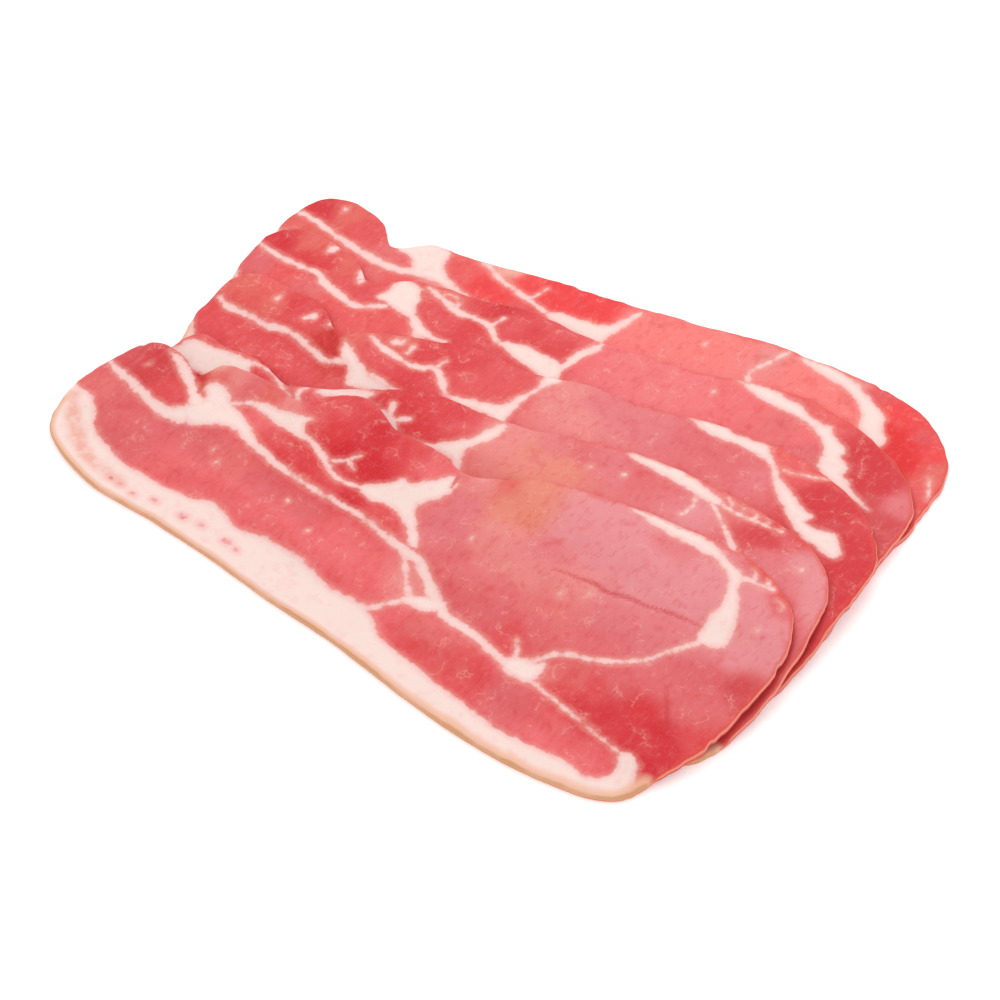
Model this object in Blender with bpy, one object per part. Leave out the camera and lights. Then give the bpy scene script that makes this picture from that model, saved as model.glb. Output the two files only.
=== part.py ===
"""Five raw bacon rashers, shingled on a flat surface.

Metres, +Z up. X runs along the rashers, from the streaky end to the eye end. Y runs across them,
from the rind edge of the top rasher to the far edge of the bottom one. The origin is at the centre
of the underside. Every rasher is one flexible slice: it lies flat where nothing is under it and
climbs over the slices that it covers.
"""

from dataclasses import dataclass

import bmesh
import bpy
import numpy as np
from mathutils import Vector
from mathutils.bvhtree import BVHTree

MM = 0.001
THICKNESS = 2.2 * MM
GAP = 0.3 * MM  # air between a slice and the one under it
STEP = (-2 * MM, 24 * MM)  # from each rasher to the next one below it
OUTLINE_SPACING = 4 * MM
CELL = (6.4 * MM, 3.5 * MM)  # mesh cells along and across a rasher
WELD = 0.8 * MM  # mesh points closer than this become one
FIELD_STEP = 1 * MM  # of the height field that the slices are laid on
BRIDGE = 6  # field steps that a slice bridges beside an edge under it
BEND = 5  # field steps over which it then comes down, at most BRIDGE
SOFTNESS = 2.2  # field steps, the spread of that bend
MARGIN = 20 * MM  # of the height field round the rashers
CURVE_POINTS = 16  # for each stretch between two outline points, before spacing

# The outline in millimetres, anticlockwise, in a rasher's own frame. All rashers share these two.
RIND_EDGE = ((-102, -76), (-75, -75), (-50, -75), (-24, -76), (0, -76), (25, -78), (48, -79), (68, -78))
WAIST = ((27, 11), (11, 5))


@dataclass(frozen=True)
class Rasher:
    """One slice: its own eye end, up to the waist, and its own streaky end, from there on."""

    name: str
    eye_end: tuple
    streaky_end: tuple
    colour: tuple


RASHERS = (
    Rasher(
        "rasher_1",
        (
            (84, -75), (94, -72), (101, -66), (105, -54), (109, -42), (110, -28), (110, -12),
            (107, 1), (99, 12), (84, 19), (66, 19), (46, 16),
        ),
        (
            (4, 0), (-8, -6), (-21, -4), (-36, -5), (-50, -1), (-61, -5), (-69, -14), (-84, -14),
            (-98, -17), (-103, -25), (-111, -22), (-121, -22), (-130, -25), (-134, -38),
            (-134, -52), (-126, -68),
        ),
        (0.62, 0.16, 0.17),
    ),
    Rasher(
        "rasher_2",
        (
            (86, -77), (99, -75), (109, -69), (113, -57), (114, -44), (113, -30), (111, -17),
            (108, -4), (102, 6), (93, 12), (78, 15), (60, 15), (43, 14),
        ),
        (
            (-2, -1), (-20, -6), (-38, -9), (-54, -19), (-70, -29), (-78, -34), (-90, -31),
            (-104, -33), (-115, -34), (-119, -44), (-120, -58), (-115, -69),
        ),
        (0.58, 0.13, 0.14),
    ),
    Rasher(
        "rasher_3",
        (
            (86, -77), (100, -75), (111, -68), (115, -56), (115, -43), (114, -30), (113, -16),
            (110, -2), (104, 6), (95, 13), (81, 18), (64, 19), (46, 17),
        ),
        (
            (-2, 3), (-20, -4), (-38, -6), (-54, -13), (-69, -21), (-79, -29), (-92, -23),
            (-106, -24), (-117, -25), (-123, -32), (-123, -46), (-120, -60), (-114, -70),
        ),
        (0.56, 0.12, 0.13),
    ),
    Rasher(
        "rasher_4",
        (
            (86, -77), (101, -75), (112, -68), (115, -55), (113, -38), (111, -22), (110, -9),
            (107, 2), (99, 10), (88, 16), (71, 20), (50, 20),
        ),
        (
            (-4, 1), (-20, -2), (-38, -4), (-54, -10), (-70, -14), (-79, -19), (-87, -27),
            (-98, -22), (-112, -20), (-123, -22), (-129, -31), (-127, -45), (-123, -59),
            (-116, -70),
        ),
        (0.60, 0.13, 0.14),
    ),
    Rasher(
        "rasher_5",
        (
            (86, -77), (100, -75), (110, -68), (113, -54), (112, -41), (112, -28), (110, -13),
            (107, 0), (98, 10), (86, 16), (70, 18), (48, 15),
        ),
        (
            (-4, 1), (-20, -4), (-38, -8), (-56, -14), (-72, -19), (-84, -21), (-93, -31),
            (-103, -24), (-114, -22), (-125, -25), (-130, -36), (-129, -49), (-124, -61),
            (-116, -70),
        ),
        (0.70, 0.18, 0.16),
    ),
)


def closed_curve(points, spacing):
    """Evenly spaced points on the smooth closed curve through the given points."""
    here = np.array(points, float)
    before, after, beyond = (np.roll(here, turn, axis=0) for turn in (1, -1, -2))
    t = np.linspace(0, 1, CURVE_POINTS, endpoint=False)[:, None, None]
    linear = after - before
    square = 2 * before - 5 * here + 4 * after - beyond
    cube = 3 * (here - after) + beyond - before
    curve = here + (linear * t + square * t**2 + cube * t**3) / 2
    curve = curve.transpose(1, 0, 2).reshape(-1, 2)
    curve = np.vstack([curve, curve[:1]])
    along = np.concatenate([[0], np.cumsum(np.linalg.norm(np.diff(curve, axis=0), axis=1))])
    stops = np.linspace(0, along[-1], round(along[-1] / spacing), endpoint=False)
    return np.column_stack([np.interp(stops, along, curve[:, axis]) for axis in (0, 1)])


def outline_of(rasher):
    """The rasher's edge in its own frame, in metres."""
    points = [*RIND_EDGE, *rasher.eye_end, *WAIST, *rasher.streaky_end]
    return closed_curve(np.array(points) * MM, OUTLINE_SPACING)


def flat_sheet(outline):
    """A flat bmesh of the outline, cut into cells and then into triangles."""
    sheet = bmesh.new()
    sheet.faces.new([sheet.verts.new((x, y, 0)) for x, y in outline])
    for axis, cell in enumerate(CELL):
        across = Vector((axis == 0, axis == 1, 0))
        first = np.ceil(outline[:, axis].min() / cell) * cell
        for place in np.arange(first, outline[:, axis].max(), cell):
            bmesh.ops.bisect_plane(
                sheet,
                geom=[*sheet.verts, *sheet.edges, *sheet.faces],
                dist=GAP / 100,
                plane_co=across * place,
                plane_no=across,
            )
    bmesh.ops.remove_doubles(sheet, verts=sheet.verts[:], dist=WELD)
    bmesh.ops.triangulate(sheet, faces=sheet.faces[:])
    return sheet


class HeightField:
    """The surface that the next slice is laid on: flat at first, higher with each slice."""

    def __init__(self, low, high):
        self.low = np.array(low) - MARGIN
        size = np.ceil((np.array(high) + MARGIN - self.low) / FIELD_STEP).astype(int) + 1
        self.heights = np.zeros(size)

    def bedding(self):
        """The heights as a limp slice follows them: never lower, and with soft bends."""
        weights = np.exp(-0.5 * (np.arange(-BEND, BEND + 1) / SOFTNESS) ** 2)
        weights /= weights.sum()
        heights = self.heights
        for axis in (0, 1):
            heights = neighbours(heights, axis, BRIDGE).max(axis=0)
        for axis in (0, 1):
            heights = np.tensordot(weights, neighbours(heights, axis, BEND), 1)
        return heights

    def sample(self, heights, x, y):
        """The height at one place, between the four field points round it."""
        place = (np.array((x, y)) - self.low) / FIELD_STEP
        i, j = place.astype(int)
        u, v = place - (i, j)
        near = heights[i, j] * (1 - u) + heights[i + 1, j] * u
        far = heights[i, j + 1] * (1 - u) + heights[i + 1, j + 1] * u
        return near * (1 - v) + far * v

    def cover(self, mesh, offset):
        """Raises the field to the top of a finished slice, and a gap more."""
        tree = BVHTree.FromBMesh(mesh)
        above = Vector((0, 0, 1))
        for i, j in np.ndindex(self.heights.shape):
            x, y = self.low + np.array((i, j)) * FIELD_STEP - offset
            hit = tree.ray_cast(Vector((x, y, 1)), -above)[0]
            if hit:
                self.heights[i, j] = max(self.heights[i, j], hit.z + GAP)


def neighbours(heights, axis, reach):
    """The heights shifted by each whole step up to reach, both ways along one axis."""
    pad = [(0, 0), (0, 0)]
    pad[axis] = (reach, reach)
    padded = np.pad(heights, pad, mode="edge")
    count = heights.shape[axis]
    return np.stack([padded.take(range(i, i + count), axis) for i in range(2 * reach + 1)])


def lay(sheet, field, offset):
    """Bends the flat sheet over the field and gives it its thickness."""
    bedding = field.bedding()
    for vertex in sheet.verts:
        vertex.co.z = field.sample(bedding, vertex.co.x + offset[0], vertex.co.y + offset[1])
    under = sheet.faces[:]
    grown = bmesh.ops.extrude_face_region(sheet, geom=under, use_keep_orig=True)
    upper = [item for item in grown["geom"] if isinstance(item, bmesh.types.BMVert)]
    bmesh.ops.translate(sheet, verts=upper, vec=(0, 0, THICKNESS))
    bmesh.ops.recalc_face_normals(sheet, faces=sheet.faces[:])


def raw_bacon(name, colour):
    """A moist raw meat finish."""
    material = bpy.data.materials.new(name)
    material.use_nodes = True
    shader = material.node_tree.nodes["Principled BSDF"]
    shader.inputs["Base Color"].default_value = (*colour, 1)
    shader.inputs["Roughness"].default_value = 0.38
    shader.inputs["Metallic"].default_value = 0
    return material


def clear_scene():
    for item in list(bpy.data.objects):
        bpy.data.objects.remove(item, do_unlink=True)


def build_stack():
    """Lays the rashers from the bottom one up and centres the stack on the origin."""
    stack = bpy.data.objects.new("bacon_stack", None)
    bpy.context.scene.collection.objects.link(stack)
    outlines = [outline_of(rasher) for rasher in RASHERS]
    offsets = [np.array(STEP) * index for index in range(len(RASHERS))]
    edges = np.vstack([outline + offset for outline, offset in zip(outlines, offsets)])
    low, high = edges.min(axis=0), edges.max(axis=0)
    field = HeightField(low, high)
    for rasher, outline, offset in reversed(list(zip(RASHERS, outlines, offsets))):
        sheet = flat_sheet(outline)
        lay(sheet, field, offset)
        field.cover(sheet, offset)
        mesh = bpy.data.meshes.new(rasher.name)
        sheet.to_mesh(mesh)
        sheet.free()
        mesh.materials.append(raw_bacon(rasher.name, rasher.colour))
        item = bpy.data.objects.new(rasher.name, mesh)
        item.location = (*offset, 0)
        item.parent = stack
        bpy.context.scene.collection.objects.link(item)
    stack.location = (*(-(low + high) / 2), 0)


clear_scene()
build_stack()
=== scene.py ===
"""Five raw bacon rashers, shingled on a pale surface: the looks.

Every rasher is one closed mesh, laid where its plain solid lies. Its fat, its muscles and its rind
are drawn in the rasher's own flat frame, in millimetres: x runs from the streaky end to the eye end
and y from the rind edge to the far edge. The same frame fits every rasher, one step further on.
"""

import logging
import math
from dataclasses import dataclass, field
from enum import Enum
from typing import ClassVar

import bmesh
import bpy
import numpy as np
from mathutils import Matrix, Vector
from mathutils.bvhtree import BVHTree


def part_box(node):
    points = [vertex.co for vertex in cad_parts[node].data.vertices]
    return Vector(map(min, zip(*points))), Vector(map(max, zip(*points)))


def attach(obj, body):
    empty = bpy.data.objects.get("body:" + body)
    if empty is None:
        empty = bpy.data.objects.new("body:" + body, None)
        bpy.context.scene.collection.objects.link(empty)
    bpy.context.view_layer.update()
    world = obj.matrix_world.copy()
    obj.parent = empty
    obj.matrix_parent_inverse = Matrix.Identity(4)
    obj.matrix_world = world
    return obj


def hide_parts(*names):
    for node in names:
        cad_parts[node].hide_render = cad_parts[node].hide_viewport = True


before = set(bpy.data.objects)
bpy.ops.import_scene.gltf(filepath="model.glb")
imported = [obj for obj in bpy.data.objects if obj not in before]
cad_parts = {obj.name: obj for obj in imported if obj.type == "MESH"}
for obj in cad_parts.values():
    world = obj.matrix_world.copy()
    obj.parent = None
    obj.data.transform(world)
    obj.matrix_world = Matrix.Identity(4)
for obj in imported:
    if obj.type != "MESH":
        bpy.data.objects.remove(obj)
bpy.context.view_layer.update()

MM = 0.001
RIND_LINE = -79.0  # y of the lowest point of a rasher's rind edge, in its own frame
FAR = 8.0  # millimetres, past which no distance is measured
LINE_STEP = 1.0  # millimetres between the points of a smoothed seam or patch
TINY = 1e-12  # keeps a division by nothing away
LOG = logging.getLogger("rashers")

Point = tuple[float, float]
Spot = tuple[float, float, float]
Line = tuple[Spot, ...]
Loop = tuple[Point, ...]
Span = tuple[float, float]
Slope = tuple[float, float, float, float]  # of values: low, high, and what these become
Colour = tuple[float, float, float, float]
Socket = bpy.types.NodeSocket


class Hue(Enum):
    """The colours of the meat as they look in soft daylight, in eight-bit steps."""

    # Painted shade: dark red laid into notches and creases.
    NOTCH_SHADE = (212, 66, 62)
    BLOOD = (234, 50, 54)
    CRIMSON = (218, 64, 70)
    RED = (227, 79, 82)
    SCARLET = (246, 77, 78)
    BRICK = (218, 86, 89)
    CLAY = (234, 117, 108)
    ROSE = (233, 97, 99)
    FLESH = (239, 105, 103)
    DUSTY = (231, 117, 120)
    SALMON = (236, 124, 122)
    PINK = (245, 121, 123)
    # Mauve meat, and in places the painted lilac sheen over the eye ends.
    SHRIMP = (246, 131, 133)
    MAUVE_AND_SHEEN = (234, 132, 136)
    # Pale pink of the meat's wisps and speckles, and the painted sheen over the eye ends.
    BLUSH = (242, 150, 146)
    PALE_GRAIN_AND_SHEEN = (238, 154, 158)
    CORAL = (252, 136, 131)
    AMBER = (238, 148, 126)
    PEACH = (247, 188, 172)
    FAT = (254, 234, 226)
    THIN_FAT = (253, 211, 206)
    OLD_FAT = (248, 198, 170)
    RIND = (222, 172, 126)
    # Painted shade: darker red laid into creases and at the foot of the slice above.
    PAINTED_SHADE = (208, 70, 72)
    LIP = (238, 98, 88)
    # Painted highlight: the light wet line along the top of the cut edge.
    WET_HIGHLIGHT = (252, 176, 150)


@dataclass(frozen=True)
class Daylight:
    """How bright a red, green or blue surface looks in the studio, and what its gloss adds."""

    gain: tuple[float, float, float]
    veil: float

    def paint(self, hue: Hue) -> Colour:
        """Gives the paint that looks like a hue in this light.

        Args:
            hue: The colour as it should look.

        Returns:
            Its linear red, green, blue and alpha.
        """
        # The usual curve between a screen's steps and linear light.
        shares = [value / 255 for value in hue.value]
        linear = [s / 12.92 if s < 0.04045 else ((s + 0.055) / 1.055) ** 2.4 for s in shares]
        paint = [max(0.0, (value - self.veil) / gain) for value, gain in zip(linear, self.gain)]
        return (*paint, 1.0)


DAYLIGHT = Daylight(gain=(1.18, 1.27, 1.27), veil=0.035)


@dataclass(frozen=True)
class Tint:
    """Meat of one colour, and the middles of the areas that have it."""

    hue: Hue
    spots: Loop


@dataclass(frozen=True)
class Anatomy:
    """What one slice cuts through: fat, creases and the meat's colours.

    A seam, a crease or the stale stretch of fat is a line of x, y and half the width there. A patch
    is a closed outline. A fleck of fat in the meat, and a speck of meat in the fat, is x, y and how
    far it reaches.
    """

    seams: tuple[Line, ...]
    patches: tuple[Loop, ...]
    tints: tuple[Tint, ...]
    creases: tuple[Line, ...] = ()
    flecks: tuple[Spot, ...] = ()
    specks: tuple[Spot, ...] = ()
    stale: Line = ()


BACK_FAT = (
    (-133, -49), (-126.5, -49.5), (-119.5, -54.5), (-115, -59), (-106, -62), (-96, -64), (-83, -63),
    (-71, -61.5), (-63, -58.5), (-52, -61.5), (-40, -59), (-27, -59), (-14, -61.5), (-5, -60.5),
    (3, -62), (11, -66.5), (23, -68), (40, -69.5), (60, -70.5), (80, -67.5), (88, -68), (92, -65),
    (93, -61), (91, -57.5), (93, -55), (97, -56), (99.5, -61), (101, -67), (106, -84), (-60, -84),
    (-122, -84), (-146, -66), (-146, -50),
)
LOIN_SEAM = (
    (-58, -37, 1.0), (-41, -37.5, 0.8), (-23, -37, 0.8), (-13, -38, 1.0), (-4, -39, 1.6),
    (2, -39.5, 1.5), (8, -43, 1.5), (14, -46.5, 1.8), (21, -49.5, 1.5), (31, -50, 1.5),
    (41, -51.5, 1.2), (48, -52.5, 1.8), (52, -52, 2.7),
)
STRIP_SEAM = (
    (53, -52.5, 1.6), (58, -53, 0.6), (66, -54, 0.4), (79, -55.5, 0.35), (88, -56.5, 0.4), (93, -56.5, 0.8),
)
CROSS_SEAM = ((-5, -62, 1.5), (0, -61, 1.2), (5, -56, 0.7), (8, -52, 1.5), (13, -50, 2.7), (17, -48, 2.1))
COVERED_SEAMS = (LOIN_SEAM, STRIP_SEAM, CROSS_SEAM)
COVERED_TINTS = (
    Tint(Hue.ROSE, ((-90, -52), (-50, -50), (-10, -50), (30, -60), (70, -62))),
    Tint(Hue.DUSTY, ((10, -32), (45, -32), (85, -35))),
)

TOP_SLICE = Anatomy(
    seams=(
        (
            (-132, -35.5, 0.9), (-121, -39, 1.2), (-113, -40.5, 1.5), (-107, -41.5, 1.6),
            (-101, -42, 1.9), (-96, -40, 3.0),
        ),
        (
            (-116, -23.5, 0.6), (-111, -24.5, 1.5), (-106, -27, 1.8), (-100, -30.5, 1.6),
            (-95, -33.5, 2.4),
        ),
        ((-90, -35, 3.0), (-83, -32, 3.0), (-77, -32.5, 2.4), (-70, -35, 1.6), (-58, -37, 1.0)),
        LOIN_SEAM,
        STRIP_SEAM,
        CROSS_SEAM,
        (
            (-57.5, -23.5, 0.6), (-53.5, -24.5, 0.9), (-48.5, -26.5, 1.1), (-44, -28.5, 0.8),
            (-38.5, -30, 0.6), (-30.5, -28.5, 0.7),
        ),
        ((-46.5, -27, 0.6), (-41.5, -23, 0.5), (-39, -19.5, 0.4)),
        ((-41.5, -23, 0.5), (-37.5, -24.5, 0.4)),
        ((-3, -40, 0.8), (2, -45.5, 0.7), (7, -50.5, 0.9)),
        ((48, -52, 1.2), (46, -47, 0.8), (43, -44, 0.5)),
        ((81, 12, 0.6), (86, 13, 0.7), (91.5, 14, 0.5)),
        ((83, 17, 0.1), (84.5, 15, 0.3), (86, 13, 0.4)),
        ((88.5, 16.5, 0.1), (89, 15, 0.2), (90.5, 13.5, 0.3)),
        ((98, 9.5, 0.1), (97, 11, 0.2), (94.5, 11.5, 0.2)),
        (
            (86, -14.5, 1.0), (83, -19, 0.7), (80, -23.5, 0.6), (76, -29, 0.6), (67, -36, 0.6),
            (56, -41, 0.7), (52, -47, 1.0),
        ),
    ),
    patches=(
        BACK_FAT,
        (
            (-97, -39), (-96, -34), (-94, -31), (-98, -27), (-96.5, -24.5), (-94, -23.5),
            (-90, -24.5), (-87, -27), (-81, -28.5), (-77, -31), (-79, -34), (-84, -36.5), (-91, -41),
        ),
        (
            (-87, -27.5), (-81, -22.5), (-76, -21), (-70, -20), (-65, -18.5), (-60, -17),
            (-61.5, -20), (-59.5, -22.5), (-55.5, -23), (-58, -25), (-64, -25), (-71, -25),
            (-76, -24.5), (-81, -24.5), (-86, -28),
        ),
        (
            (-31.5, -28.5), (-28.5, -25), (-25, -22), (-22.5, -18.5), (-19, -18.5), (-15.5, -14.5),
            (-12.5, -11), (-10, -8.5), (-8, -10.5), (-7.5, -14.5), (-8.5, -18), (-12, -24),
            (-8.5, -28.5), (-2, -35), (-4.5, -36.5), (-9, -32.5), (-14, -30), (-20, -29), (-26, -30.5),
        ),
        ((45, -53.5), (47, -48), (52, -47), (55, -44.5), (56, -48), (56, -52), (53, -54.5)),
        (
            (39, 13.5), (43, 15), (50, 17), (58, 18), (64, 18), (70, 17), (75, 15), (81, 13),
            (84, 7.5), (87.5, 3), (90, -1.5), (92.5, -8), (92.5, -11.5), (89.5, -13.5),
            (85.5, -14.5), (84, -11), (83, -4), (83, 1), (81, 6), (79, 9.5), (73, 12.5), (66, 13),
            (58, 12.5), (50, 12.5),
        ),
    ),
    tints=(
        # Painted shade in the notch.
        Tint(Hue.NOTCH_SHADE, ((-103, -24),)),
        Tint(
            Hue.CRIMSON,
            (
                (-30, -33), (-44, -20), (-40, -12), (-34, -19), (80, -50), (90, -49), (96, -46),
                (72, -51), (100, -48),
            ),
        ),
        Tint(
            Hue.RED,
            ((-50, -16), (-30, -12), (-58, -31), (-50, -32), (88, -43), (64, -50), (88, 17), (96, 12)),
        ),
        Tint(Hue.BRICK, ((-118, -27), (-115, -33), (-125, -30), (105, -20))),
        Tint(Hue.CLAY, ((-78, -18), (-96, -21), (4, -2))),
        Tint(
            Hue.ROSE,
            (
                (-107, -36), (-66, -30), (-40, -33), (-25, -8), (-20, -33), (-64, -12), (-55, -8),
                (20, -64), (40, -62), (104, -40), (40, -45), (72, -44),
            ),
        ),
        Tint(
            Hue.DUSTY,
            (
                (-112, -48), (-100, -48), (-92, -45), (-83, -45), (-85, -19), (8, -35), (20, -43),
                (32, -43), (30, -35), (45, -35), (60, -32), (55, -60), (75, -38), (90, -31),
                (98, -36), (101, -28), (96, -22), (98, 10), (-55, -45), (-40, -45),
            ),
        ),
        Tint(Hue.SALMON, ((-70, -45), (-125, -44), (65, -43), (60, -47), (20, -58), (45, -30))),
        Tint(
            Hue.PINK,
            (
                (-85, -56), (-70, -55), (-55, -54), (-40, -53), (-25, -45), (-25, -55), (-10, -50),
                (-5, -56), (-75, -28), (-17, -9), (6, -60), (70, -62), (85, -63),
            ),
        ),
        Tint(Hue.MAUVE_AND_SHEEN, ((0, -16), (0, -25), (60, -22), (75, -22), (60, 10), (30, -14), (75, -15))),
        Tint(Hue.BLUSH, ((0, -5), (15, -20), (30, -24), (45, -22), (-92, -20), (3, -47), (-70, -17))),
        # Painted sheen: the pale patches over the eye end.
        Tint(
            Hue.PALE_GRAIN_AND_SHEEN,
            (
                (30, 4), (30, -5), (45, -5), (45, 5), (60, 0), (60, -8), (75, 0), (75, 8), (75, -6),
                (88, 12), (93, 6), (100, 2), (104, -4), (98, -5), (97, -12),
            ),
        ),
        Tint(Hue.AMBER, ((12, 2), (18, -6), (10, -9))),
        Tint(Hue.PEACH, ((-100, -18),)),
    ),
    creases=(
        (
            (36, -18.5, 0.1), (43, -17, 0.3), (49, -15.6, 0.7), (54, -15.8, 0.5), (60, -13.8, 0.8),
            (67, -12.9, 0.4), (74, -10.8, 0.6), (83, -9.5, 0.1),
        ),
        ((-8.5, -12.5, 0.7), (-9.5, -8.5, 0.7)),
        ((-104, -24.5, 1.5), (-99.5, -26.5, 1.2), (-98, -30, 0.8)),
        ((88, -32, 0.1), (93, -38, 0.4), (97, -43, 0.2)),
    ),
    flecks=(
        (43, -23.5, 0.3), (50, -19, 0.3), (-119, -31, 0.2), (97, -1, 0.1), (-74, -47, 0.2),
        (-78, -44, 0.1), (-46, -45, 0.2), (-33, -50, 0.1), (24, -26, 0.1), (9, -24, 0.1),
    ),
    specks=(
        (-96, -71, 0.7), (-92, -71, 0.8), (-86, -71.5, 1.0), (-79, -69, 0.9), (-67.5, -68.5, 1.3),
        (-61, -67.5, 1.1), (-50, -67.5, 1.4), (-46, -68.2, 0.9),
    ),
    stale=((-131, -53, 1.6), (-123, -60.5, 1.8), (-111, -68, 1.6), (-101, -70, 1.2), (-92, -70.5, 0.9)),
)

SECOND_SLICE = Anatomy(
    seams=(
        *COVERED_SEAMS,
        ((-92, -33, 0.5), (-84, -32.5, 0.5), (-79, -35, 0.5), (-72, -37, 0.5)),
        ((-70.5, -36.5, 0.7), (-72, -33.5, 0.8), (-71, -29, 0.6)),
        (
            (-54, -25, 1.2), (-49.5, -25, 1.5), (-44.5, -25, 1.3), (-41.5, -25, 1.5), (-38, -27.5, 1.2),
            (-34, -29, 0.9), (-30, -28, 0.7), (-26, -26.5, 0.7), (-21.5, -24.5, 0.9),
        ),
        ((-42, -24.5, 0.9), (-44.5, -20, 0.8)),
        ((-40.5, -25, 0.8), (-36.5, -21.5, 0.6)),
        ((58, 10, 0.9), (65, 10.2, 0.6), (73, 11, 0.4), (80, 12.5, 0.2)),
        ((58, 8.5, 0.7), (64, 4.5, 0.4), (69, 1, 0.7), (73, -2, 0.9), (76, -6, 0.2)),
        ((52, 8, 0.5), (54, 3, 0.3), (53, -1, 0.1)),
        ((60.5, 13.5, 0.1), (62, 12.5, 0.2), (63.5, 10, 0.4)),
        ((65, 14, 0.1), (66.5, 12.5, 0.3), (67, 10.5, 0.4)),
        ((69.5, 14, 0.1), (71, 13, 0.3), (71, 11, 0.4)),
        ((74, 14.5, 0.1), (75.5, 13, 0.3), (75, 11.5, 0.4)),
        ((80, 14, 0.1), (80.5, 12.5, 0.3), (79, 11.5, 0.3)),
    ),
    patches=(
        BACK_FAT,
        (
            (-118, -45), (-117, -41), (-114, -37), (-108.5, -36), (-101, -34.5), (-92.5, -33),
            (-91, -36), (-89.5, -39), (-90, -42), (-93.5, -44), (-99, -45), (-105, -46), (-110, -47),
        ),
        (
            (-68, -31), (-67, -27.5), (-61.5, -23.5), (-53.5, -20), (-52, -21), (-53, -23.5),
            (-54, -26), (-58, -28), (-63, -29),
        ),
        (
            (-22.5, -23), (-19.5, -20), (-16, -16.5), (-14.5, -11.5), (-13, -6), (-11, -5.5),
            (-10, -9.5), (-11, -14), (-13, -18), (-14, -21.5), (-12.5, -25), (-10.5, -28),
            (-12.5, -28), (-16.5, -26), (-20.5, -26), (-25.5, -27),
        ),
        (
            (26, 9), (27, 13), (31, 15), (37, 16.5), (42, 16), (47, 14), (54, 12.5), (60, 11.2),
            (58.5, 9), (53, 8.5), (47, 8.5), (39.5, 8.5), (31.5, 8.5),
        ),
    ),
    tints=(
        *COVERED_TINTS,
        Tint(Hue.CRIMSON, ((76, 8), (-40, -12), (82, 7))),
        Tint(
            Hue.RED,
            ((-50, -20), (-42, -14), (-36, -14), (-48, -29), (-26, -12), (-32, -22), (78, 13), (86, 13)),
        ),
        Tint(Hue.ROSE, ((-86, -35), (-68, -33), (-22, -16), (100, -12))),
        Tint(Hue.DUSTY, ((15, -1), (35, 6), (45, 7), (84, 10))),
        Tint(Hue.SALMON, ((-78, -38), (60, 15), (72, 15), (66, 14))),
        Tint(Hue.MAUVE_AND_SHEEN, ((5, -4), (84, 2), (92, -2), (50, 4), (-62, -30), (25, 2))),
        Tint(Hue.BLUSH, ((-10, -12), (-5, -7), (6, -12), (-62, -25), (-57, -22))),
        # Painted sheen over the eye end.
        Tint(Hue.PALE_GRAIN_AND_SHEEN, ((55, 3), (92, 6), (100, 2), (104, -8))),
        Tint(Hue.AMBER, ((8, -13), (14, -8), (3, -9))),
    ),
    flecks=((-60, -18, 0.6), (20, -3, 0.5), (30, 1, 0.4), (94, 4, 0.6)),
)

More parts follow.
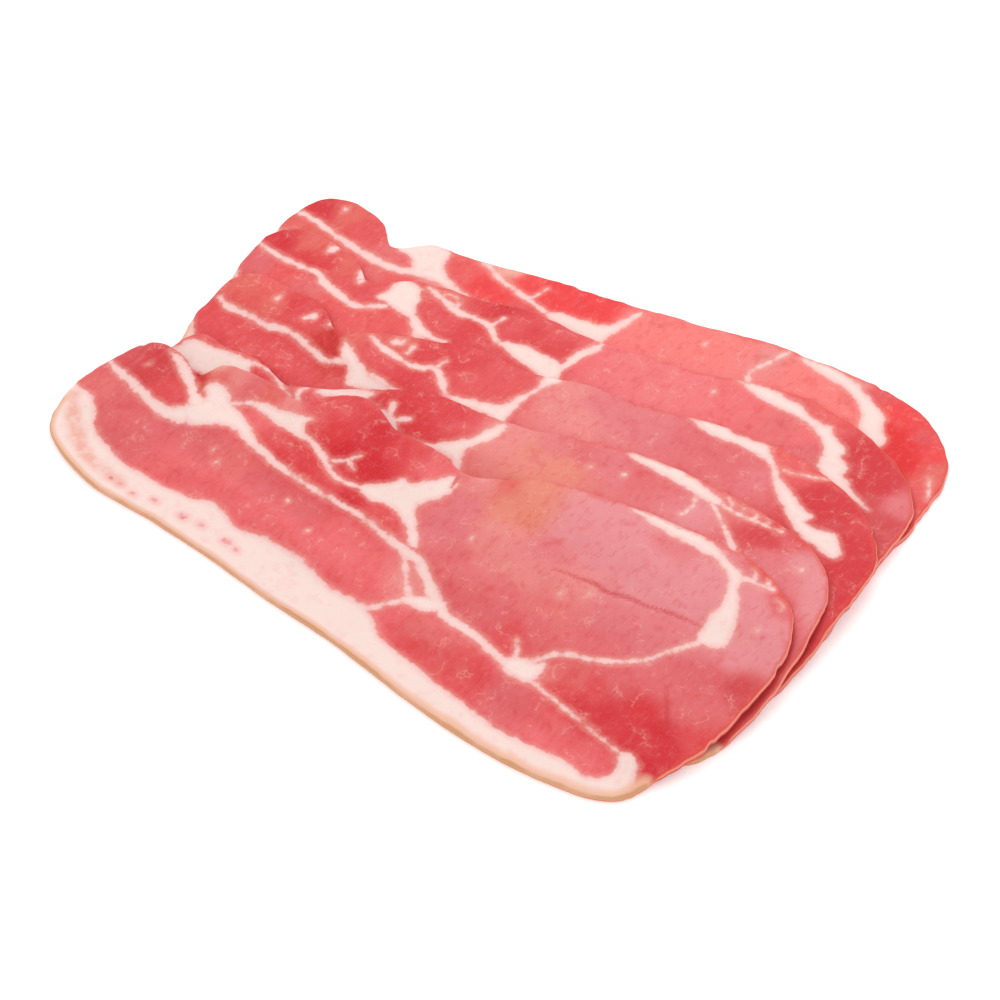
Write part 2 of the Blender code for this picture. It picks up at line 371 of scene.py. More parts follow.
THIRD_SLICE = Anatomy(
    seams=(
        *COVERED_SEAMS,
        (
            (-121, -40.5, 0.7), (-116, -42, 1.2), (-111, -41.5, 1.1), (-105, -41, 1.0),
            (-99, -40.5, 1.2), (-93, -39, 1.0), (-87, -39, 1.1), (-81, -40, 1.1), (-75, -40.5, 0.9),
            (-71, -38.5, 0.9), (-68, -37, 0.9),
        ),
        (
            (-69.5, -24, 0.6), (-65, -25.5, 1.2), (-61, -26, 1.4), (-55.5, -26, 0.9),
            (-51.5, -26, 0.9), (-48, -25, 1.2), (-45, -22.5, 1.1), (-41, -24, 1.2), (-35, -28.5, 0.9),
            (-32.5, -29, 0.7),
        ),
        ((-44.5, -22.5, 0.9), (-44, -17.5, 0.6)),
        ((-55.5, -22.5, 0.7), (-56, -19, 0.5)),
        ((67, 12, 0.2), (71.5, 13.5, 0.3), (79.5, 17.5, 0.2)),
    ),
    patches=(
        BACK_FAT,
        (
            (-71, -37), (-74, -33), (-75, -30.5), (-71, -32), (-67, -34), (-62.5, -35.5),
            (-58.5, -37.5), (-54, -37.5), (-48, -38), (-51.5, -41), (-57, -42.5), (-62, -44),
            (-64, -42), (-67.5, -38),
        ),
        (
            (-33, -29), (-27, -26), (-20, -23), (-17, -21), (-16.5, -17.5), (-15, -11.5),
            (-14, -7.5), (-15.5, -3.5), (-14, 0), (-11, 0.5), (-10, -2), (-12, -6), (-13.5, -12),
            (-13.5, -19), (-13, -22.5), (-12, -27), (-13, -29.5), (-16.5, -28), (-22.5, -28.5),
            (-28, -30),
        ),
        (
            (27, 12.5), (30, 15), (35.5, 16.5), (41.5, 17), (44.5, 15), (50, 16), (55.5, 17.5),
            (60, 15), (65, 10.5), (69.5, 7.5), (73, 6.5), (79, 3), (84.5, 1.5), (84.5, -1.5),
            (89.5, -1.5), (93.5, 0), (97, -2), (99.5, -5), (100, -8), (97, -8.5),
            (92.5, -8), (86, -7), (81, -4.5), (76, -1), (71.5, 2), (67, 6), (62.5, 10.5), (59, 12),
            (53, 12), (48, 11.5), (43, 10), (35, 10.5),
        ),
    ),
    tints=(
        *COVERED_TINTS,
        # Painted shade in the crease.
        Tint(Hue.NOTCH_SHADE, ((-79, -33), (-75, -35))),
        Tint(Hue.CRIMSON, ((80, 9), (92, 8), (104, -2), (75, -33), (98, 1), (106, -10), (86, 5))),
        Tint(Hue.RED, ((-48, -14), (-40, -16), (-98, -28), (-50, -30), (98, 5), (-52, -18))),
        Tint(Hue.BRICK, ((92, 2),)),
        Tint(Hue.CLAY, ((-118, -30), (-105, -32), (-74, -27), (-72, -32), (-60, -18))),
        Tint(
            Hue.ROSE,
            (
                (-85, -43), (-66, -30), (-58, -33), (-36, -22), (-28, -16), (-92, -33), (-24, -8),
                (-18, -12), (-115, -46), (-105, -46), (-95, -44),
            ),
        ),
        Tint(Hue.FLESH, ((-112, -27), (66, 14), (72, 14), (60, 16))),
        Tint(Hue.DUSTY, ((55, 8), (35, 8), (45, 6))),
        Tint(Hue.MAUVE_AND_SHEEN, ((15, 2), (25, 6), (5, -2), (62, 5), (8, 1))),
        Tint(Hue.BLUSH, ((-8, -8), (-5, -2), (5, -9))),
    ),
    creases=(((-82, -31, 1.0), (-78, -34, 1.6), (-74, -38, 0.8)),),
    flecks=(
        (-105, -29.5, 0.8), (-90.5, -29, 1.3), (-91.5, -31, 0.8), (-83.5, -28.5, 0.7), (-62, -21, 1.3),
        (-60.5, -20.2, 0.9),
    ),
)

FOURTH_SLICE = Anatomy(
    seams=(
        *COVERED_SEAMS,
        (
            (-128, -36, 0.8), (-120, -36.5, 1.1), (-114, -36, 1.1), (-108, -35.5, 0.9),
            (-103, -34.5, 1.4), (-98, -37, 1.5), (-90.5, -38, 1.3), (-83.5, -38.5, 1.2),
            (-79.5, -35.5, 0.9), (-76, -32.5, 1.0),
        ),
        (
            (-70.5, -16.5, 0.5), (-65.5, -17.5, 0.9), (-61, -18.5, 1.2), (-55, -19.5, 1.2),
            (-51.5, -18.5, 0.8), (-47, -18, 0.7), (-43.5, -18, 1.2), (-38, -21.5, 0.9), (-35, -22, 0.7),
        ),
        ((-43.5, -17.5, 0.7), (-43, -15, 0.6), (-42.5, -12, 0.4)),
        ((-65, -18, 0.5), (-63, -14.5, 0.5), (-59, -15.5, 0.5), (-57, -18.5, 0.5)),
    ),
    patches=(
        BACK_FAT,
        (
            (-78, -31), (-81, -30.5), (-80, -26.5), (-80.5, -22), (-79.5, -19), (-76, -18),
            (-72, -19), (-69, -23), (-68, -26), (-65.5, -29), (-60.5, -31.5), (-55, -33),
            (-49, -32.5), (-52.5, -35), (-57.5, -36), (-59.5, -37.5), (-63, -34), (-67.5, -31.5),
            (-72.5, -31.5),
        ),
        (
            (-36, -21.5), (-33, -19.5), (-27, -17.5), (-21.5, -17), (-17, -16.5), (-14.5, -17),
            (-14.5, -10), (-12.5, -5), (-10.5, 0), (-9.5, -4), (-11, -8.5), (-11.5, -14),
            (-12.5, -18.5), (-11.5, -22.5), (-13.5, -26), (-19.5, -25), (-26, -24.5), (-31, -23.5),
        ),
        (
            (31, 13.5), (36, 15), (43, 16.5), (50.5, 16.5), (55, 16.5), (59, 14.5), (64.5, 14),
            (68, 14.5), (70.5, 12), (74, 11), (77.5, 8.5), (77.5, 5.5), (81.5, 3.5), (82.5, 0),
            (87.5, -3), (93.5, -6), (96.5, -7.5), (92, -7), (86.5, -6), (81, -5), (76, -3.5),
            (73.5, -1), (72.5, 3), (70, 6.5), (66, 9.5), (61, 11.5), (55.5, 11.5), (50.5, 11),
            (44.5, 11), (40, 11.5), (35.5, 12.5),
        ),
    ),
    tints=(
        *COVERED_TINTS,
        Tint(Hue.CRIMSON, ((-122, -30), (82, 12), (88, 8), (88, 1), (-45, -10), (95, 3), (82, 8))),
        Tint(Hue.RED, ((-112, -31), (-104, -30), (-52, -13), (-48, -25), (-20, -12), (-30, -12))),
        Tint(Hue.BRICK, ((95, -4), (105, -10), (80, 5))),
        Tint(Hue.CLAY, ((-115, -26), (-60, -15), (-98, -26))),
        Tint(Hue.ROSE, ((-92, -32), (-85, -30), (-62, -24), (-38, -14), (-25, -6), (-55, -26))),
        Tint(Hue.FLESH, ((-90, -43), (-80, -42), (-112, -42), (-68, -38), (66, 16))),
        Tint(Hue.SALMON, ((-100, -43), (55, 9))),
        Tint(Hue.PINK, ((45, 9), (64, 8), (-8, -8), (35, 8))),
        Tint(Hue.DUSTY, ((70, 3), (-122, -42))),
        Tint(Hue.SHRIMP, ((-3, -2), (5, -4), (15, 2), (25, 6), (20, 0))),
        # Painted glint near the tip of the eye end.
        Tint(Hue.MAUVE_AND_SHEEN, ((102, 0),)),
    ),
    flecks=(
        (-107.5, -22.5, 1.3), (-92, -25, 1.2), (-91, -27, 1.0), (-89.5, -28.5, 0.8), (30, 4, 0.5),
    ),
)

BOTTOM_SLICE = Anatomy(
    seams=(
        *COVERED_SEAMS,
        (
            (-129, -38, 0.9), (-121, -37.5, 1.1), (-110, -39, 1.2), (-99, -39.5, 1.5),
            (-92, -39.5, 1.5), (-85.5, -38.5, 1.5), (-80.5, -36, 1.4), (-75.5, -33.5, 1.6),
            (-71, -32.5, 1.8), (-63, -34, 1.5), (-57, -34.5, 0.8),
        ),
        (
            (-65.5, -17.5, 0.6), (-61.5, -18, 0.9), (-56, -20, 1.0), (-49.5, -21, 0.8),
            (-43.5, -22, 1.1), (-38.5, -22.5, 0.8), (-34, -23, 0.9),
        ),
        ((-43.5, -22, 0.7), (-41.5, -19.5, 0.6), (-40.5, -14, 0.5)),
        ((38, 12.5, 0.5), (35.5, 2.5, 0.5), (34, -3.5, 0.6), (36.5, -8, 0.6)),
        ((104, -6, 0.5), (109, -14, 0.5)),
    ),
    patches=(
        BACK_FAT,
        (
            (-92, -28), (-89, -24), (-84.5, -21), (-77, -20.5), (-75, -25.5), (-70.5, -30),
            (-64.5, -32.5), (-57, -33.5), (-62, -35.5), (-70, -35), (-75.5, -36), (-80, -37),
            (-82, -34), (-86, -31), (-91, -31),
        ),
        (
            (-33.5, -23.5), (-30, -20.5), (-23, -18.5), (-16.5, -16.5), (-13.5, -14), (-12.5, -11),
            (-11, -4), (-9, -4), (-9.5, -9), (-10.5, -16), (-11, -20.5), (-12, -24), (-21, -24.5),
            (-29, -25),
        ),
        (
            (42, 12.5), (48, 15), (55.5, 15.5), (62.5, 14.5), (68, 12), (74.5, 9.5), (78.5, 7),
            (81, 2), (84.5, -1), (84, -5.5), (76, -3), (71.5, 4), (66.5, 8), (61, 10), (54.5, 10.5),
            (48.5, 11),
        ),
    ),
    tints=(
        *COVERED_TINTS,
        Tint(Hue.BLOOD, ((92, 0), (86, 4), (95, -5))),
        Tint(Hue.CRIMSON, ((-124, -32),)),
        Tint(
            Hue.SCARLET,
            (
                (-58, -26), (-50, -27), (-48, -16), (-40, -12), (-33, -14), (-25, -8), (-20, -12),
                (80, 11), (87, 9), (99, 2),
            ),
        ),
        Tint(Hue.CLAY, ((-115, -28), (-122, -44), (-112, -44), (104, -2))),
        Tint(Hue.ROSE, ((-108, -32), (-100, -32), (72, 15), (92, 8))),
        Tint(Hue.FLESH, ((-100, -45), (-82, -42), (-66, -27), (105, -12), (-42, -26))),
        Tint(Hue.SALMON, ((-95, -34), (-90, -44))),
        Tint(Hue.BLUSH, ((-70, -37), (64, 17), (35, 6))),
        Tint(
            Hue.CORAL,
            (
                (-8, -12), (-4, -6), (5, -4), (15, 0), (25, 4), (45, 6), (55, 4), (62, 4), (68, 1),
                (72, -3),
            ),
        ),
        Tint(Hue.PEACH, ((-55, -14),)),
    ),
    flecks=((-118, -27, 0.7), (15, -2, 0.5), (-62, -14, 1.4)),
)


def smooth_line(points: np.ndarray, closed: bool, spacing: float) -> np.ndarray:
    """Draws a smooth curve through points, with any further columns carried along.

    Args:
        points: One row for each point: x, y and whatever else changes along the line.
        closed: Whether the curve runs back to its first point.
        spacing: The distance between the points of the curve.

    Returns:
        The curve's points, evenly spaced. An open curve ends on its last point.
    """
    if closed:
        here = points
        before, after, beyond = (np.roll(points, turn, axis=0) for turn in (1, -1, -2))
    else:
        ends = np.vstack([points[:1], points, points[-1:]])
        before, here, after, beyond = ends[:-3], ends[1:-2], ends[2:-1], ends[3:]
    steps = 12
    t = np.linspace(0, 1, steps, endpoint=False)[:, None, None]
    curve = here + ((after - before) * t
                    + (2 * before - 5 * here + 4 * after - beyond) * t**2
                    + (3 * (here - after) + beyond - before) * t**3) / 2
    curve = curve.transpose(1, 0, 2).reshape(-1, points.shape[1])
    curve = np.vstack([curve, points[:1] if closed else points[-1:]])
    lengths = np.linalg.norm(np.diff(curve[:, :2], axis=0), axis=1)
    along = np.concatenate([[0], np.cumsum(lengths)])
    stops = np.linspace(0, along[-1], max(2, round(along[-1] / spacing)), endpoint=not closed)
    return np.column_stack([np.interp(stops, along, column) for column in curve.T])


def ease(values: np.ndarray, low: float, high: float) -> np.ndarray:
    """Rises smoothly from 0 at low to 1 at high."""
    share = np.clip((values - low) / (high - low), 0, 1)
    return share * share * (3 - 2 * share)


def between(grid: np.ndarray, corner: np.ndarray, share: np.ndarray) -> np.ndarray:
    """Reads a grid between its points.

    Args:
        grid: The values, on a plane that repeats itself past its last row and column.
        corner: The row and column at or before each place.
        share: How far past them each place lies, from 0 to 1.

    Returns:
        One value for each place.
    """
    (i, j), (u, v) = corner.T, share.T
    rows, columns = grid.shape
    near = grid[i % rows, j % columns] * (1 - u) + grid[(i + 1) % rows, j % columns] * u
    far = grid[i % rows, (j + 1) % columns] * (1 - u) + grid[(i + 1) % rows, (j + 1) % columns] * u
    return near * (1 - v) + far * v


@dataclass(frozen=True)
class Ripple:
    """An uneven relief: the width and the height of its waves, and which draw it is."""

    SIZE: ClassVar = 128

    wave: float
    height: float
    draw: int

    def over(self, places: np.ndarray, seed: int) -> np.ndarray:
        """Gives smooth random heights over a plane.

        Args:
            places: The places, as rows of x and y.
            seed: The rasher's own seed.

        Returns:
            One height for each place, above or below 0.
        """
        grid = np.random.default_rng(seed + self.draw).uniform(-1, 1, (self.SIZE, self.SIZE))
        corner = np.floor(places / self.wave).astype(int)
        return self.height * between(grid, corner, ease(places / self.wave - corner, 0, 1))


class Spots:
    """Places on a plane, sorted by y so that the ones near a line are found quickly."""

    def __init__(self, places: np.ndarray) -> None:
        """Sorts the places.

        Args:
            places: The places, as rows of x and y.
        """
        self.order = np.argsort(places[:, 1])
        self.x, self.y = places[self.order].T.copy()

    def rows(self, low: float, high: float) -> slice:
        """Finds the sorted places whose y lies from low to high."""
        return slice(*np.searchsorted(self.y, (low, high)))

    def restored(self, values: np.ndarray) -> np.ndarray:
        """Puts values back in the order in which the places came.

        Args:
            values: One row for each sorted place.

        Returns:
            One row for each place as it came.
        """
        result = np.empty_like(values)
        result[self.order] = values
        return result

    def beside(self, start: np.ndarray, end: np.ndarray) -> tuple[np.ndarray, np.ndarray, np.ndarray]:
        """Looks at the places near one stretch of a line.

        Args:
            start: Where the stretch starts.
            end: Where it ends.

        Returns:
            The places within reach, how far along the stretch each one lies, from 0 to 1, and how
            far away from it.
        """
        (left, near), (right, far) = np.minimum(start, end)[:2], np.maximum(start, end)[:2]
        rows = self.rows(near - FAR, far + FAR)
        here = np.flatnonzero((self.x[rows] > left - FAR) & (self.x[rows] < right + FAR)) + rows.start
        run = (end - start)[:2]
        x, y = self.x[here] - start[0], self.y[here] - start[1]
        share = np.clip((x * run[0] + y * run[1]) / max(run @ run, TINY), 0, 1)
        return here, share, np.hypot(x - share * run[0], y - share * run[1])

    def in_line(self, line: Line | np.ndarray, softness: float = 0.3) -> np.ndarray:
        """Says how deep each place lies inside a line of changing width.

        Args:
            line: The line's points, as rows of x, y and half the width.
            softness: How round the middle of the line is.

        Returns:
            About half the width less the distance: above 0 inside, below 0 outside.
        """
        depth = np.full(len(self.x), -FAR)
        smooth = smooth_line(np.array(line, float), False, LINE_STEP)
        for start, end in zip(smooth, smooth[1:]):
            here, share, away = self.beside(start, end)
            half = start[2] + share * (end[2] - start[2])
            inside = np.hypot(half, softness) - np.hypot(away, softness)
            depth[here] = np.maximum(depth[here], inside)
        return self.restored(depth)

    def in_loop(self, loop: np.ndarray) -> tuple[np.ndarray, np.ndarray]:
        """Says how deep each place lies inside a closed loop.

        Args:
            loop: The loop's points in order.

        Returns:
            The distance to the loop, above 0 inside it, and the nearest point of the loop.
        """
        distance = np.full(len(self.x), FAR)
        nearest = np.zeros((len(self.x), 2))
        inside = np.zeros(len(self.x), bool)
        for start, end in zip(loop, np.roll(loop, -1, axis=0)):
            here, share, away = self.beside(start, end)
            closer = away < distance[here]
            here, share = here[closer], share[closer]
            distance[here] = away[closer]
            nearest[here] = start + share[:, None] * (end - start)
            rows = self.rows(min(start[1], end[1]), max(start[1], end[1]))
            if end[1] != start[1]:
                slant = (end[0] - start[0]) / (end[1] - start[1])
                inside[rows] ^= self.x[rows] < start[0] + (self.y[rows] - start[1]) * slant
        depth = np.where(inside, distance, -distance)
        return self.restored(depth), self.restored(nearest)

    def in_patch(self, patch: Loop) -> np.ndarray:
        """Says how deep each place lies inside the smooth closed curve through some points."""
        return self.in_loop(smooth_line(np.array(patch, float), True, LINE_STEP))[0]


class Bedding:
    """The bent top of a plain solid, read on a fine raster and softened. All in millimetres."""

    STEP: ClassVar = 1.0  # of the raster
    SPREAD: ClassVar = 1.5  # of the softening, in steps
    REACH: ClassVar = 5  # of the softening, and of the raster past the outline

    def __init__(self, node: bpy.types.Object) -> None:
        """Reads the heights of a solid's top.

        Args:
            node: The solid, with its place in its mesh.
        """
        solid = bmesh.new()
        solid.from_mesh(node.data)
        bmesh.ops.remove_doubles(solid, verts=solid.verts, dist=MM / 100)
        self.outline = self.read_outline(solid)
        tree = BVHTree.FromBMesh(solid)
        solid.free()
        self.low = self.outline.min(axis=0) - self.REACH
        count = np.ceil((self.outline.max(axis=0) + self.REACH - self.low) / self.STEP).astype(int) + 1
        heights = np.full(count, np.nan)
        for i, j in np.ndindex(*count):
            x, y = (self.low + np.array((i, j)) * self.STEP) * MM
            hit = tree.ray_cast(Vector((x, y, 1)), Vector((0, 0, -1)))[0]
            if hit:
                heights[i, j] = hit.z / MM
        self.heights = self.soften(heights)

    @staticmethod
    def read_outline(solid: bmesh.types.BMesh) -> np.ndarray:
        """Follows the edge between a solid's underside and its upright wall.

        Args:
            solid: The closed solid.

        Returns:
            The edge's points in order, in millimetres, anticlockwise from above.
        """
        upright = 0.1
        solid.normal_update()
        rim = [
            edge
            for edge in solid.edges
            if len(edge.link_faces) == 2
            and min(abs(face.normal.z) for face in edge.link_faces) < upright
            and min(face.normal.z for face in edge.link_faces) < -upright
        ]
        beside = {}
        for edge in rim:
            for here, there in (edge.verts, reversed(edge.verts)):
                beside.setdefault(here.index, []).append(there)
        first = rim[0].verts[0]
        loop = [first]
        previous, here = first, beside[first.index][0]
        while here is not first:
            loop.append(here)
            onward = next(vertex for vertex in beside[here.index] if vertex is not previous)
            previous, here = here, onward
        points = np.array([vertex.co.xy for vertex in loop]) / MM
        x, y = points.T
        area = (x * np.roll(y, -1) - np.roll(x, -1) * y).sum()
        return points if area > 0 else points[::-1]

    def soften(self, heights: np.ndarray) -> np.ndarray:
        """Blurs the heights and carries them on past the solid's edge.

        Args:
            heights: The raster, with nan where nothing was hit.

        Returns:
            The softened raster, with a height everywhere.
        """
        weights = np.exp(-0.5 * (np.arange(-self.REACH, self.REACH + 1) / self.SPREAD) ** 2)
        known = np.isfinite(heights).astype(float)
        total = np.where(known > 0, heights, 0.0)
        for axis in (0, 1):
            total, known = (
                np.apply_along_axis(np.convolve, axis, raster, weights, "same")
                for raster in (total, known)
            )
        return np.where(known > TINY, total / np.maximum(known, TINY), 0.0)

    def height(self, places: np.ndarray) -> np.ndarray:
        """Reads the softened height between the raster's points.

        Args:
            places: The places, as rows of x and y in millimetres.

        Returns:
            The height at each place, in millimetres.
        """
        spot = np.clip((places - self.low) / self.STEP, 0, np.array(self.heights.shape) - 1)
        corner = np.floor(spot).astype(int)
        return between(self.heights, corner, spot - corner)


@dataclass(frozen=True)
class Cloud:
    """Soft values about 0.5: bumps to the millimetre, how many finer layers, and how strong these are."""

    scale: float
    detail: float = 3.0
    roughness: float = 0.6


@dataclass(frozen=True)
class Stain:
    """A hue that comes in smoothly while a value runs from clear to full, up to a strength."""

    hue: Hue
    clear: float
    full: float
    strength: float = 1.0


class Wiring:
    """Adds nodes to a material and joins them up, so that a finish reads as a recipe."""

    def __init__(self, material: bpy.types.Material) -> None:
        """Starts with an empty node tree.

        Args:
            material: The material that the nodes are for.
        """
        material.use_nodes = True
        self.tree = material.node_tree
        self.tree.nodes.clear()

    def add(self, kind: str, inputs: dict | None = None, **settings) -> bpy.types.Node:
        """Adds a node.

        Args:
            kind: The node's type, without the word ShaderNode.
            inputs: Its sockets by name or number, each with a value or another node's output.
            settings: Its own properties.

        Returns:
            The new node.
        """
        node = self.tree.nodes.new("ShaderNode" + kind)
        for name, value in settings.items():
            setattr(node, name, value)
        for name, value in (inputs or {}).items():
            if isinstance(value, Socket):
                self.tree.links.new(value, node.inputs[name])
            else:
                node.inputs[name].default_value = value
        return node

    def ruler(self, shift: float) -> Socket:
        """Measures the piece in millimetres, from a point moved along it."""
        inputs = {"Vector": self.add("TexCoord").outputs["Object"], "Scale": [1 / MM] * 3}
        return self.add("Mapping", {**inputs, "Location": (shift, 0, 0)}).outputs[0]

    def mark(self, name: str, output: str = "Fac") -> Socket:
        """Reads a number that the mesh carries, or a colour with the output Color."""
        return self.add("Attribute", attribute_name=name).outputs[output]

    def sum(self, operation: str, *values: object) -> Socket:
        """Does one sum with numbers or sockets."""
        return self.add("Math", dict(enumerate(values)), operation=operation).outputs[0]

    def noise(self, place: Socket, cloud: Cloud) -> Socket:
        """Fills the piece with a cloud."""
        inputs = {"Scale": cloud.scale, "Detail": cloud.detail, "Roughness": cloud.roughness}
        return self.add("TexNoise", {"Vector": place, **inputs}).outputs["Fac"]

    def ramp(self, value: Socket, low: float, high: float, start: float = 0.0, end: float = 1.0) -> Socket:
        """Runs smoothly from start, where value is low, to end, where it is high."""
        inputs = {0: value, 1: low, 2: high, 3: start, 4: end}
        return self.add("MapRange", inputs, interpolation_type="SMOOTHSTEP").outputs[0]

    def wander(self, value: Socket, noise: Socket, reach: float, spread: float = 0.2) -> Socket:
        """Moves a distance to and fro with a cloud, reach either way where that is spread from 0.5."""
        return self.sum("ADD", value, self.ramp(noise, 0.5 - spread, 0.5 + spread, -reach, reach))

    def mix(self, share: Socket, first: Socket | Colour, second: Socket | Colour) -> Socket:
        """Mixes two colours."""
        return self.add("Mix", {0: share, 6: first, 7: second}, data_type="RGBA").outputs[2]

    def stained(self, colour: Socket | Colour, stain: Stain, value: Socket) -> Socket:
        """Brings a stain into a colour where a value says."""
        share = self.ramp(value, stain.clear, stain.full, 0, stain.strength)
        return self.mix(share, colour, DAYLIGHT.paint(stain.hue))


@dataclass(frozen=True)
class BaconFinish:
    """Moist raw meat with its fat and rind. Lengths are in millimetres."""

    name: str
    shift: float

    # The edge of the fat: how far it is frayed coarsely and finely, and half of its softness.
    ragged: float = 0.5
    frayed: float = 0.12
    fat_edge: float = 0.55
    fray_spread: float = 0.25
    coarse: Cloud = Cloud(0.3)
    fine: Cloud = Cloud(1.1, 2, 0.5)

    # The meat: clouds, wisps along its slanting fibres, hair-thin pale veins, and speckles.
    clouds: Cloud = Cloud(0.16, 4)
    pale_clouds: Stain = Stain(Hue.BLUSH, 0.5, 0.75, 0.25)
    dark_clouds: Stain = Stain(Hue.CRIMSON, 0.48, 0.28, 0.3)
    fibre_turn: float = 0.35
    fibre_stretch: float = 0.4
    wisps: Cloud = Cloud(0.7)
    pale_wisps: Stain = Stain(Hue.PALE_GRAIN_AND_SHEEN, 0.52, 0.75, 0.2)
    dark_wisps: Stain = Stain(Hue.CRIMSON, 0.48, 0.3, 0.25)
    veins: Cloud = Cloud(0.13, 3, 0.55)
    vein_sides: Span = (0.02, 0.002)
    veined: Slope = (0.5, 0.6, 0, 0.34)
    speckles: Cloud = Cloud(1.7, 2, 0.5)
    pale_speckles: Stain = Stain(Hue.PALE_GRAIN_AND_SHEEN, 0.55, 0.75, 0.2)

    # Painted shade in creases and at the foot of the slice above, and paler meat where it thins beside fat.
    crease_wander: float = 0.4
    # Painted shade in the creases.
    creases: Stain = Stain(Hue.PAINTED_SHADE, -0.9, 0.7, 0.6)
    beside_fat: Stain = Stain(Hue.PEACH, -2.0, -0.3, 0.3)
    # Painted shade: a dark contact line where the slice above rests.
    shade_under_slice: Stain = Stain(Hue.PAINTED_SHADE, 1.8, 0.2, 0.75)

    # The fat: whiter where it is thick, pinker in clouds, and peach where it is stale.
    thick_fat: Stain = Stain(Hue.FAT, 0.1, 2.2)
    pink_clouds: Stain = Stain(Hue.THIN_FAT, 0.5, 0.72, 0.45)
    stale_sides: Span = (-2.5, 1.2)
    stale_clouds: Slope = (0.35, 0.6, 0.45, 0.9)

    # The edges: yellower fat and the tan rind, and the cut eye end with a painted wet highlight along its
    # top line.
    edge_wander: float = 0.5
    rind_cloud: Cloud = Cloud(0.09, 3, 0.5)
    old_fat: Stain = Stain(Hue.OLD_FAT, 4.4, 1.3, 0.9)
    rind: Stain = Stain(Hue.RIND, 1.1, 0.1, 0.85)
    lip_cloud: Cloud = Cloud(0.35)
    lip: Stain = Stain(Hue.LIP, 2.0, 0.5, 0.5)
    # Painted highlight along the top line of the cut edge.
    lip_highlight: Stain = Stain(Hue.WET_HIGHLIGHT, 0.45, 0.1, 0.75)

    # The surface: its gloss, how uneven that is, and a fine grain.
    lean_roughness: float = 0.36
    fat_roughness: float = 0.46
    uneven_gloss: Slope = (0.3, 0.7, -0.05, 0.07)
    grain: Cloud = Cloud(1.7)
    grain_height: float = 0.2
    lean_grain: float = 0.25
    fat_grain: float = 0.1

    def material(self) -> bpy.types.Material:
        """Builds the material.

        Returns:
            A material that reads the numbers and colours that a rasher's mesh carries.
        """
        material = bpy.data.materials.new(self.name)
        wiring = Wiring(material)
        place = wiring.ruler(self.shift)
        fat = self.fat_depth(wiring, place)
        is_fat = wiring.ramp(fat, -self.fat_edge, self.fat_edge)
        lean = self.lean_colour(wiring, place, fat)
        colour = wiring.mix(is_fat, lean, self.fat_colour(wiring, place, fat))
        colour = self.with_edges(wiring, place, colour)
        grain = wiring.noise(place, self.grain)
        gloss = wiring.ramp(is_fat, 0, 1, self.lean_roughness, self.fat_roughness)
        strength = wiring.ramp(is_fat, 0, 1, self.lean_grain, self.fat_grain)
        relief = {"Strength": strength, "Distance": self.grain_height * MM, "Height": grain}
        shader = wiring.add(
            "BsdfPrincipled",
            {
                "Base Color": colour,
                "Roughness": wiring.sum("ADD", gloss, wiring.ramp(grain, *self.uneven_gloss)),
                "IOR": 1.38,
                "Specular IOR Level": 0.22,
                "Coat Weight": 0.04,
                "Coat Roughness": 0.25,
                "Normal": wiring.add("Bump", relief).outputs[0],
            },
        )
        wiring.add("OutputMaterial", {"Surface": shader.outputs[0]})
        return material

    def fat_depth(self, wiring: Wiring, place: Socket) -> Socket:
        """Frays the edge of the fat, coarsely and finely.

        Args:
            wiring: Where the nodes go.
            place: The piece's own millimetres.

        Returns:
            The depth inside the fat, below 0 in the meat.
        """
        depth = wiring.mark("fat")
        coarse, fine = wiring.noise(place, self.coarse), wiring.noise(place, self.fine)
        depth = wiring.wander(depth, coarse, self.ragged, self.fray_spread)
        return wiring.wander(depth, fine, self.frayed, self.fray_spread)

    def lean_colour(self, wiring: Wiring, place: Socket, fat: Socket) -> Socket:
        """Mottles the meat, with wisps along its fibres, paler meat beside the fat, and painted shade in
        creases and at the foot of the slice above.

        Args:
            wiring: Where the nodes go.
            place: The piece's own millimetres.
            fat: The depth inside the fat.

        Returns:
            The colour of the meat.
        """
        lean = wiring.mark("lean", "Color")
        cloud = wiring.noise(place, self.clouds)
        lean = wiring.stained(lean, self.pale_clouds, cloud)
        lean = wiring.stained(lean, self.dark_clouds, cloud)
        slant = {"Rotation": (0, 0, self.fibre_turn), "Scale": (1, self.fibre_stretch, 1)}
        fibres = wiring.add("Mapping", {"Vector": place, **slant}).outputs[0]
        wisp = wiring.noise(fibres, self.wisps)
        lean = wiring.stained(lean, self.pale_wisps, wisp)
        lean = wiring.stained(lean, self.dark_wisps, wisp)
        vein = wiring.sum("SUBTRACT", wiring.noise(place, self.veins), 0.5)
        vein = wiring.ramp(wiring.sum("ABSOLUTE", vein), *self.vein_sides)
        vein = wiring.sum("MULTIPLY", vein, wiring.ramp(cloud, *self.veined))
        lean = wiring.mix(vein, lean, DAYLIGHT.paint(Hue.PEACH))
        speckle = wiring.noise(place, self.speckles)
        lean = wiring.stained(lean, self.pale_speckles, speckle)
        # Painted shade darkens the creases.
        crease = wiring.wander(wiring.mark("crease"), speckle, self.crease_wander)
        lean = wiring.stained(lean, self.creases, crease)
        lean = wiring.stained(lean, self.beside_fat, fat)
        # Painted shade at the foot of the slice above.
        return wiring.stained(lean, self.shade_under_slice, wiring.mark("seat"))

    def fat_colour(self, wiring: Wiring, place: Socket, fat: Socket) -> Socket:
        """Makes thin fat pinker than thick fat, and cloudy.

        Args:
            wiring: Where the nodes go.
            place: The piece's own millimetres.
            fat: The depth inside the fat.

        Returns:
            The colour of the fat.
        """
        colour = wiring.stained(DAYLIGHT.paint(Hue.THIN_FAT), self.thick_fat, fat)
        cloud = wiring.noise(place, self.coarse)
        colour = wiring.stained(colour, self.pink_clouds, cloud)
        stale = wiring.ramp(wiring.mark("stale"), *self.stale_sides)
        stale = wiring.sum("MULTIPLY", stale, wiring.ramp(cloud, *self.stale_clouds))
        return wiring.mix(stale, colour, DAYLIGHT.paint(Hue.PEACH))

